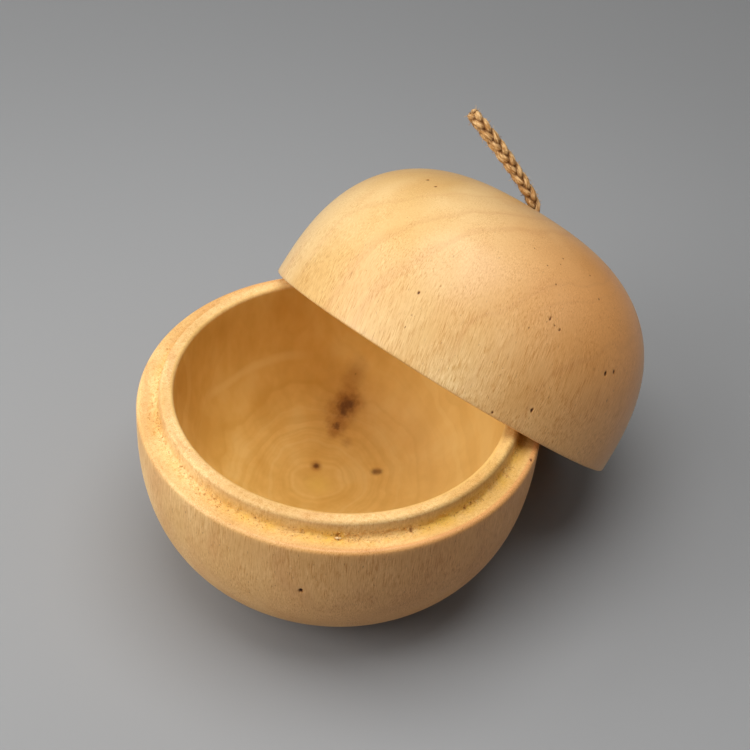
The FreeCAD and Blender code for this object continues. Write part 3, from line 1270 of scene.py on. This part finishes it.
    def flake(self) -> bpy.types.Object:
        """Make the small pale chip that stands out of the torn corner.

        Returns:
            The chip.
        """
        place = (Matrix.Translation(on_half(*self.chip))
                 @ Matrix.Rotation(math.radians(self.chip[0]), 4, "Z")
                 @ Matrix.Rotation(self.chip_tilt, 4, "Y"))
        across, along, thick = self.chip_size
        count = 10
        turns = [2.0 * math.pi * k / count for k in range(count)]
        rim = [(across * math.cos(turn) * (1.0 + 0.18 * math.sin(7.0 * k)),
                along * math.sin(turn), 0.10 * math.sin(3.0 * k))
               for k, turn in enumerate(turns)]
        spots = [place @ (Vector(point) * MM)
                 for point in rim + [(0.0, 0.0, thick), (0.0, 0.0, -thick)]]
        faces = [(k, (k + 1) % count, count) for k in range(count)]
        faces += [((k + 1) % count, k, count + 1) for k in range(count)]
        mesh = bpy.data.meshes.new("torn_flake")
        mesh.from_pydata(spots, [], faces)
        mesh.materials.append(self.split_wood.material())
        return new_object("torn_flake", mesh)


@dataclass
class LidHalf:
    """The upper half: dome, skirt recess, hollow and the cord's hole. Sizes are millimetres."""

    crown: Vector
    axis: Vector
    ball_radius: float = 75.0
    height: float = 73.0
    fullness: float = 2.64
    hole_radius: float = 5.4
    hole_round: float = 2.0
    skirt_radius: float = 67.4
    recess: float = 6.8
    lead_in: float = 3.0
    hollow_radius: float = 63.5
    hollow_height: float = 61.0
    hollow_fullness: float = 2.5
    rim_round: float = 0.7
    segments: int = 372
    relief: Relief = Relief(0.05, 21.0, 0.3, 2.0, 2.0, 9.0)
    knot_height: float = 55.2
    pit_spots: tuple[tuple[float, float, float, float], ...] = (
        (-102, 70.2, 36, 1.2), (-106, 71.3, 34, 1.5), (-125, 74.5, 9, 1.2),
        (-135, 75, 1.5, 0.9), (-170, 73.3, 24, 1.0), (-168, 75, 11, 0.6),
        (162, 53, 60, 1.1), (154, 52, 60.5, 1.3), (-147, 54, 59, 0.6),
        (-140, 57, 56, 0.6), (-135, 54, 59, 0.6), (-134, 51, 62, 0.7),
        (-119, 51, 62, 0.7), (-135, 61, 52, 0.7), (-133, 68, 40, 0.8),
        (-131, 69, 39.5, 0.7), (-129, 69, 39, 0.9), (-138, 71, 34, 0.6),
        (-115, 58, 56, 0.8))

    def base(self) -> Vector:
        """The centre of the lid's rim, in the row frame."""
        return self.crown - self.axis * (self.height * MM)

    def lean(self) -> float:
        """The angle between the lid's axis and the vertical."""
        return math.atan2(self.axis.x, self.axis.z)

    def to_row(self) -> Matrix:
        """The matrix from the lid's own frame, in metres, to the row frame."""
        return Matrix.Translation(self.base()) @ Matrix.Rotation(self.lean(), 4, "Y")

    def knot_place(self) -> Matrix:
        """The matrix from the knot's own frame, in metres, to the row frame."""
        return self.to_row() @ Matrix.Translation((0.0, 0.0, self.knot_height * MM))

    def finish(self) -> TurnedWood:
        """The lid's wood, with its grain along the lid's own axis."""
        return TurnedWood("lid wood", 41.0, tuple(self.base()), self.lean(),
                          # pale is whiter as part of a painted highlight on the lamps' side;
                          # warm_side points away from the lamps, for painted shade.
                          pale=(0.80, 0.545, 0.245), straw=(0.70, 0.43, 0.155),
                          tan=(0.64, 0.29, 0.080), warm=(0.82, 0.315, 0.068),
                          pith=(-24.0, 38.0), warm_side=(0.0, -0.75, 0.50),
                          warm_reach=(18.0, 92.0), warmth=0.95, slant=(-0.22, 0.0, 0.0),
                          coarse=(62.0, 6.0))

    def outline(self) -> list[Stop]:
        """Draw the outline from the hole's lower edge over the dome and back up the hollow.

        Returns:
            Its points in order.
        """
        hole, inner = self.hole_radius, self.skirt_radius
        mouth = hole + self.hole_round
        mouth_z = self.height * partner(mouth / self.ball_radius, self.fullness)
        deep = self.hollow_height * partner(hole / self.hollow_radius, self.hollow_fullness)
        start = self.hollow_radius * partner(self.recess / self.hollow_height,
                                             self.hollow_fullness)
        skin = quarter(self.ball_radius, self.height, self.fullness, 1.0, 0.0, 1200)
        skin = [(r, z) for r, z in skin if r > mouth + 0.2 and z > self.rim_round + 0.05]
        stops = [Stop(hole, z, Zone.HOLLOW) for z in
                 np.linspace(deep, mouth_z - self.hole_round - 0.1, 8)]
        stops += [Stop(r, z) for r, z in corner((mouth, mouth_z - self.hole_round),
                                                self.hole_round, 178.0, 92.0, 7)]
        stops += [Stop(r, z) for r, z in evenly(skin, 1.45)]
        stops += [Stop(r, z) for r, z in
                  corner((self.ball_radius - self.rim_round - 0.05, self.rim_round),
                         self.rim_round, -4.0, -88.0, 5)]
        stops += [Stop(r, 0.0, Zone.RIM) for r in (73.0, 71.8, inner + self.lead_in + 0.4)]
        stops += [Stop(inner + self.lead_in * (1.0 - k / 5.0), self.lead_in * k / 5.0 + 0.03,
                       Zone.RIM) for k in range(6)]
        stops += [Stop(inner, z, Zone.MOUTH) for z in (3.6, 4.6, 5.6, self.recess - 0.4)]
        stops += [Stop(r, self.recess, Zone.MOUTH) for r in (inner - 0.4, 65.4, start + 1.0)]
        hollow = quarter(self.hollow_radius, self.hollow_height, self.hollow_fullness,
                         0.0, 1.0, 1200)
        hollow = [(r, z) for r, z in hollow if z > self.recess + 0.5 and r > hole + 0.3]
        stops += [Stop(r, z, Zone.HOLLOW) for r, z in evenly(hollow, 1.6)]
        stops.append(Stop(hole, deep, Zone.HOLLOW))
        return stops

    def pits(self) -> list[Pit]:
        """List the small dark pits on the dome, with a few more strewn over its far side.

        Returns:
            The pits.
        """
        found = [Pit(angle, radius, height, 0.85 * width, 0.25 * width, 0.75)
                 for angle, radius, height, width in self.pit_spots]
        randomly = np.random.default_rng(5)
        for _ in range(14):
            height = float(randomly.uniform(4.0, 64.0))
            radius = self.ball_radius * partner(height / self.height, self.fullness)
            found.append(Pit(float(randomly.uniform(-30.0, 200.0)), radius, height,
                             float(randomly.uniform(0.35, 0.6)), 0.15, 0.55))
        return found

    def build(self, recipe: Recipe) -> bpy.types.Object:
        """Turn the half, carve its pits and lay it where the lid leans.

        Args:
            recipe: The tree that turns an outline.

        Returns:
            The finished half.
        """
        line = outline_mesh(list(reversed(self.outline())), (self.skirt_radius, self.recess),
                            self.relief.torn_reach)
        piece = recipe.make("lid_half", line,
                            self.relief.inputs(self.segments, self.finish().material()))
        outward(piece.data)
        carve_pits(piece, self.pits())
        piece.data.transform(self.to_row())
        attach(piece, "lid")
        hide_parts("lid")
        return piece


# ---- The cord -------------------------------------------------------------------------------

def unit(rows: np.ndarray) -> np.ndarray:
    """Each row at length 1."""
    return rows / np.linalg.norm(rows, axis=1)[:, None]


@dataclass(frozen=True)
class Plait:
    """A flat plait of three strands. Sizes are millimetres."""

    diameter: float = 4.6
    period: float = 16.0
    swing: float = 1.18
    lift: float = 0.62
    strand: float = 1.22
    strands: int = 3
    around: int = 22
    pitch: float = 0.32
    twist: float = 9.0
    girth: float = 7.6
    seed: int = 7

    def build(self, name: str, points: Sequence[Vector], face: Vector) -> bpy.types.Object:
        """Plait the strands along a line and join them in one piece.

        Args:
            name: The piece's name.
            points: The line, in metres.
            face: The way that the plait's broad face looks at the start.

        Returns:
            The piece, with a UV map "strand" in millimetres and "deep" on its points, for painted
            shade between strands.
        """
        marks, centre = self._evened(points)
        along = unit(np.gradient(centre, axis=0))
        ups = self._faces_up(along, face)
        sides = np.cross(along, ups)
        randomly = np.random.default_rng(self.seed)
        rings: list[np.ndarray] = []
        faces: list[tuple[int, ...]] = []
        uvs: list[tuple[float, float]] = []
        for strand in range(self.strands):
            skin_faces, skin_uvs = self._skin(marks, len(rings) * self.around, strand)
            faces += skin_faces
            uvs += skin_uvs
            rings += self._rings(marks, centre, sides, ups, strand, randomly)
        verts = np.stack(rings)
        middle = np.tile(centre, (self.strands, 1))[:, None]
        off = verts - middle
        wide = (np.einsum("nij,nj->ni", off, np.tile(sides, (self.strands, 1)))
                / (self.diameter * MM / 2.0))
        high = (np.einsum("nij,nj->ni", off, np.tile(ups, (self.strands, 1)))
                / ((self.lift + self.strand) * MM))
        # How far each point lies inside the plait, for the painted shade between strands.
        depth = np.clip(1.0 - np.hypot(wide, high), 0.0, 1.0)
        mesh = bpy.data.meshes.new(name)
        mesh.from_pydata(verts.reshape(-1, 3).tolist(), [], faces)
        layer = mesh.uv_layers.new(name="strand")
        layer.data.foreach_set("uv", np.array(uvs, np.float32).ravel())
        deep = mesh.attributes.new("deep", "FLOAT", "POINT")
        deep.data.foreach_set("value", np.clip(depth * 1.7, 0.0, 1.0).astype(np.float32).ravel())
        for polygon in mesh.polygons:
            polygon.use_smooth = True
        mesh.update()
        outward(mesh)
        return new_object(name, mesh)

    def _evened(self, points: Sequence[Vector]) -> tuple[np.ndarray, np.ndarray]:
        """Even out and smooth the line.

        Args:
            points: The line.

        Returns:
            How far along each new point is, and the new points.
        """
        line = np.array([tuple(point) for point in points])
        run = np.concatenate(([0.0], np.cumsum(np.linalg.norm(np.diff(line, axis=0), axis=1))))
        marks = np.linspace(0.0, run[-1], int(run[-1] / (self.pitch * MM)) + 1)
        centre = np.stack([np.interp(marks, run, line[:, k]) for k in range(3)], axis=1)
        kernel = np.hanning(9)
        kernel /= kernel.sum()
        padded = np.pad(centre, ((4, 4), (0, 0)), mode="reflect", reflect_type="odd")
        return marks, np.stack([np.convolve(padded[:, k], kernel, "valid") for k in range(3)],
                               axis=1)

    @staticmethod
    def _faces_up(along: np.ndarray, face: Vector) -> np.ndarray:
        """Carry the way that the broad face looks along the line, without a twist.

        Args:
            along: The line's direction at each point.
            face: The way that the face looks at the start.

        Returns:
            The way that it looks at each point.
        """
        up = np.array(face, float)
        ups = []
        for step in along:
            up = up - step * float(up @ step)
            up /= np.linalg.norm(up)
            ups.append(up)
        return np.array(ups)

    def _rings(self, marks: np.ndarray, centre: np.ndarray, sides: np.ndarray, ups: np.ndarray,
               strand: int, randomly: np.random.Generator) -> list[np.ndarray]:
        """Lay one strand's rings of points, ridged like spun fibre.

        Args:
            marks: How far along each ring is.
            centre: The plait's middle there.
            sides: The way across the plait there.
            ups: The way that its face looks there.
            strand: Which strand it is.
            randomly: Where its lumps come from.

        Returns:
            The rings in order.
        """
        phase = 2.0 * math.pi * (marks / (self.period * MM) + strand / self.strands)
        path = (centre + sides * (self.swing * MM * np.sin(phase))[:, None]
                + ups * (self.lift * MM * np.sin(2.0 * phase))[:, None])
        way = unit(np.gradient(path, axis=0))
        out = unit(ups - way * np.einsum("ij,ij->i", ups, way)[:, None])
        across = np.cross(way, out)
        turns = np.arange(self.around) * (2.0 * math.pi / self.around)
        lumps = randomly.normal(0.0, 1.0, len(marks))
        lumps = np.convolve(lumps, np.hanning(15) / np.hanning(15).sum(), "same")
        rings = []
        for k, mark in enumerate(marks):
            twist = 2.0 * math.pi * mark / (self.twist * MM)
            ridge = (1.0 + 0.07 * np.cos(5.0 * turns + twist)
                     + 0.04 * np.cos(9.0 * turns - 0.6 * twist))
            radius = self.strand * MM * ridge * (1.0 + 0.10 * lumps[k])
            rings.append(path[k] + np.outer(np.cos(turns) * radius, across[k])
                         + np.outer(np.sin(turns) * radius * 0.9, out[k]))
        return rings

    def _skin(self, marks: np.ndarray, start: int, strand: int,
              ) -> tuple[list[tuple[int, ...]], list[tuple[float, float]]]:
        """Join one strand's rings with faces, and close its ends.

        Args:
            marks: How far along each ring is.
            start: The number of the strand's first point.
            strand: Which strand it is.

        Returns:
            The faces, and the place of each of their corners on the strand, in millimetres.
        """
        around = self.around
        shift = self.twist * strand
        faces: list[tuple[int, ...]] = []
        uvs: list[tuple[float, float]] = []
        for k in range(1, len(marks)):
            near = start + (k - 1) * around
            u0, u1 = marks[k - 1] / MM, marks[k] / MM
            for j in range(around):
                after = (j + 1) % around
                faces.append((near + j, near + after, near + around + after, near + around + j))
                v0, v1 = (step / around * self.girth + shift for step in (j, j + 1))
                uvs += [(u0, v0), (u0, v1), (u1, v1), (u1, v0)]
        last = start + (len(marks) - 1) * around
        faces.append(tuple(range(start + around - 1, start - 1, -1)))
        faces.append(tuple(range(last, last + around)))
        uvs += [(0.0, 0.0)] * (2 * around)
        return faces, uvs


@dataclass
class CordLoop:
    """The plaited loop through the lid's crown, with the knot that holds it.

    The route is in metres in the row frame, and the other sizes in millimetres.
    """

    crown: Vector
    axis: Vector
    length: float = 125.0
    bare: float = 1.0
    knot_reach: float = 1.68
    knot_depth: float = 3.0
    plait: Plait = Plait()
    stray: Fibres = Fibres(4.0e5, 1.7, 0.10, 1.25, 8)
    route: tuple[Point, ...] = (
        (0.09925, -0.00115, 0.09698), (0.1031, -0.00095, 0.10119),
        (0.10669, -0.00115, 0.10467), (0.10855, 0.00218, 0.10955),
        (0.10754, 0.01043, 0.11775), (0.10577, 0.01919, 0.12655),
        (0.1042, 0.02808, 0.13335), (0.10542, 0.03417, 0.13439),
        (0.11166, 0.0389, 0.12865), (0.11389, 0.03562, 0.12357),
        (0.11419, 0.02624, 0.118), (0.11331, 0.01497, 0.11204),
        (0.11201, 0.0048, 0.10634), (0.1098, 0.00115, 0.10167),
        (0.10629, 0.00135, 0.09811), (0.10237, 0.00115, 0.09397))

    def line(self) -> list[Vector]:
        """Draw the route's own smooth curve.

        Returns:
            Its points.
        """
        data = bpy.data.curves.new("cord_route", "CURVE")
        data.dimensions = "3D"
        spline = data.splines.new("NURBS")
        spline.points.add(len(self.route) - 1)
        for point, spot in zip(spline.points, self.route):
            point.co = (*spot, 1.0)
        spline.order_u = 3
        spline.use_endpoint_u = True
        data.resolution_u = 24
        holder = new_object("cord_route", data)
        mesh = settled(holder)
        points = [vertex.co.copy() for vertex in mesh.vertices]
        bpy.data.objects.remove(holder)
        bpy.data.meshes.remove(mesh)
        return points

    def build(self, knot_place: Matrix, finish: bpy.types.Material,
              fibres: Recipe) -> list[bpy.types.Object]:
        """Args:
            knot_place: The matrix from the knot's own frame to the row frame.
            finish: The fibre.
            fibres: The tree that scatters fibres.

        Returns:
            The loop, the knot and the loop's stray hairs.
        """
        points = self.line()
        measured = sum((b - a).length for a, b in zip(points, points[1:]))
        LOG.info("cord route %.1f mm", measured / MM)
        loop = self.plait.build("cord_plait", points, points[0] - points[-1])
        knot = self.knot(knot_place)
        loop.data.materials.append(finish)
        knot.data.materials.append(finish)
        spots = np.array([vertex.co for vertex in loop.data.vertices])
        free = (spots - np.array(self.crown)) @ np.array(self.axis) > self.bare * MM
        hairs = fibres_on(loop, "cord_hairs", free.astype(float), fibres,
                          self.stray.inputs(finish))
        for part in (loop, knot, hairs):
            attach(part, "handle")
        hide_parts("handle_cord")
        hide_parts("stopper_knot")
        return [loop, knot, hairs]

    def knot(self, place: Matrix) -> bpy.types.Object:
        """Tie the overhand knot under the crown.

        Args:
            place: The matrix from the knot's own frame, in metres, to the row frame.

        Returns:
            The knot.
        """
        steps = 160
        points = []
        for step in range(steps + 1):
            turn = 2.0 * math.pi * step / steps
            spot = Vector((self.knot_reach * (math.sin(turn) + 2.0 * math.sin(2.0 * turn)),
                           self.knot_reach * (math.cos(turn) - 2.0 * math.cos(2.0 * turn)),
                           -self.knot_depth * math.sin(3.0 * turn)))
            points.append(place @ (spot * MM))
        return self.plait.build("cord_knot", points,
                                place.to_3x3() @ Vector((0.0, 0.0, 1.0)))


# ---- The studio -----------------------------------------------------------------------------

@dataclass
class Lamp:
    """One soft round light that looks at the middle of the object.

    Its bearing is in degrees from +X towards +Y, and its rise in degrees above the ground.
    """

    name: str
    bearing: float
    rise: float
    distance: float
    size: float
    power: float
    aim: Point = (0.03, 0.0, 0.05)

    def build(self) -> None:
        """Hang the light."""
        turn, rise = math.radians(self.bearing), math.radians(self.rise)
        way = Vector((math.cos(turn) * math.cos(rise), math.sin(turn) * math.cos(rise),
                      math.sin(rise)))
        data = bpy.data.lights.new(self.name, "AREA")
        data.shape = "DISK"
        data.size = self.size
        data.energy = self.power
        lamp = new_object(self.name, data)
        lamp.location = Vector(self.aim) + way * self.distance
        lamp.rotation_euler = (-way).to_track_quat("-Z", "Y").to_euler()


@dataclass
class Studio:
    """Camera, light and ground.

    Angles are in degrees, distances in metres, and the lens and its sensor in millimetres.
    """

    target: Point = (0.0, 0.0, 0.072)
    heading: float = 50.69
    height_angle: float = 42.28
    roll: float = 5.39
    distance: float = 0.66567
    left: float = 0.0128
    below: float = 0.00995
    lens: float = 86.4
    sensor: float = 36.0
    nearest: float = 0.01
    ground_reach: float = 4.0
    fill: float = 0.0765
    lamps: tuple[Lamp, ...] = (
        Lamp("top light", 129.3, 88.0, 0.9, 0.8, 6.4),
        Lamp("left light", 119.0, 41.0, 1.1, 0.6, 2.6),
        Lamp("front left light", 169.3, 40.0, 1.1, 0.7, 2.6),
        Lamp("high left light", 169.3, 62.0, 1.1, 0.7, 0.5),
        Lamp("low left light", 149.3, 22.0, 1.2, 0.7, 6.0),
        Lamp("right fill", -50.7, 45.0, 1.2, 0.9, 1.05))
    ground: GreyGround = GreyGround("grey ground")

    def build_camera(self) -> None:
        """Set up the camera by its angles and its distance from the bowl's ledge."""
        heading, rise, roll = (math.radians(angle) for angle in
                               (self.heading, self.height_angle, self.roll))
        ahead = Vector((math.sin(heading) * math.cos(rise), math.cos(heading) * math.cos(rise),
                        -math.sin(rise)))
        level = ahead.cross(Vector((0.0, 0.0, 1.0))).normalized()
        upright = level.cross(ahead)
        right = level * math.cos(roll) + upright * math.sin(roll)
        up = upright * math.cos(roll) - level * math.sin(roll)
        place = (Vector(self.target) - ahead * self.distance + right * self.left
                 + up * self.below)
        data = bpy.data.cameras.new("camera")
        data.lens = self.lens
        data.sensor_width = self.sensor
        data.clip_start = self.nearest
        camera = new_object("camera", data)
        camera.matrix_world = Matrix((
            (right.x, up.x, -ahead.x, place.x), (right.y, up.y, -ahead.y, place.y),
            (right.z, up.z, -ahead.z, place.z), (0.0, 0.0, 0.0, 1.0)))
        bpy.context.scene.camera = camera

    def build_ground(self) -> bpy.types.Object:
        """Lay the ground.

        Returns:
            The ground.
        """
        far = self.ground_reach
        mesh = bpy.data.meshes.new("ground")
        mesh.from_pydata([(-far, -far, 0.0), (far, -far, 0.0), (far, far, 0.0),
                          (-far, far, 0.0)], [], [(0, 1, 2, 3)])
        mesh.materials.append(self.ground.material())
        ground = new_object("ground", mesh)
        return ground

    def build_light(self) -> None:
        """Hang the lights and set the soft light all round."""
        for lamp in self.lamps:
            lamp.build()
        world = bpy.data.worlds.new("soft light")
        world.use_nodes = True
        world.node_tree.nodes.clear()
        book = NodeBook(world.node_tree)
        sky = book.add("ShaderNodeBackground", {}, {"Color": (1.0, 1.0, 1.0, 1.0),
                                                    "Strength": self.fill})
        book.add("ShaderNodeOutputWorld", {}, {"Surface": sky["Background"]})
        bpy.context.scene.world = world
        bpy.context.scene.view_settings.view_transform = "Standard"


# ---- Assembly -------------------------------------------------------------------------------


def main() -> None:
    """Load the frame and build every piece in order."""
    logging.basicConfig(level=logging.INFO, format="%(message)s")
    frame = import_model()
    swivel = next(joint for joint in frame["joints"] if joint["name"] == "handle_swivel")
    crown, axis = Vector(swivel["pos_m"]), Vector(swivel["axis"]).normalized()
    studio = Studio()
    studio.build_camera()
    lid = LidHalf(crown, axis)
    fibre = CordFibre("plaited fibre").material()
    fibres = fibre_recipe()
    pieces = CordLoop(crown, axis).build(lid.knot_place(), fibre, fibres)
    recipe = turning_recipe()
    pieces += BowlHalf().build(recipe, fibres)
    pieces.append(lid.build(recipe))
    studio.build_ground()
    studio.build_light()
    for piece in pieces:
        LOG.info("%s: %d triangles", piece.name,
                 sum(len(polygon.vertices) - 2 for polygon in piece.data.polygons))


if __name__ == "__main__":
    main()
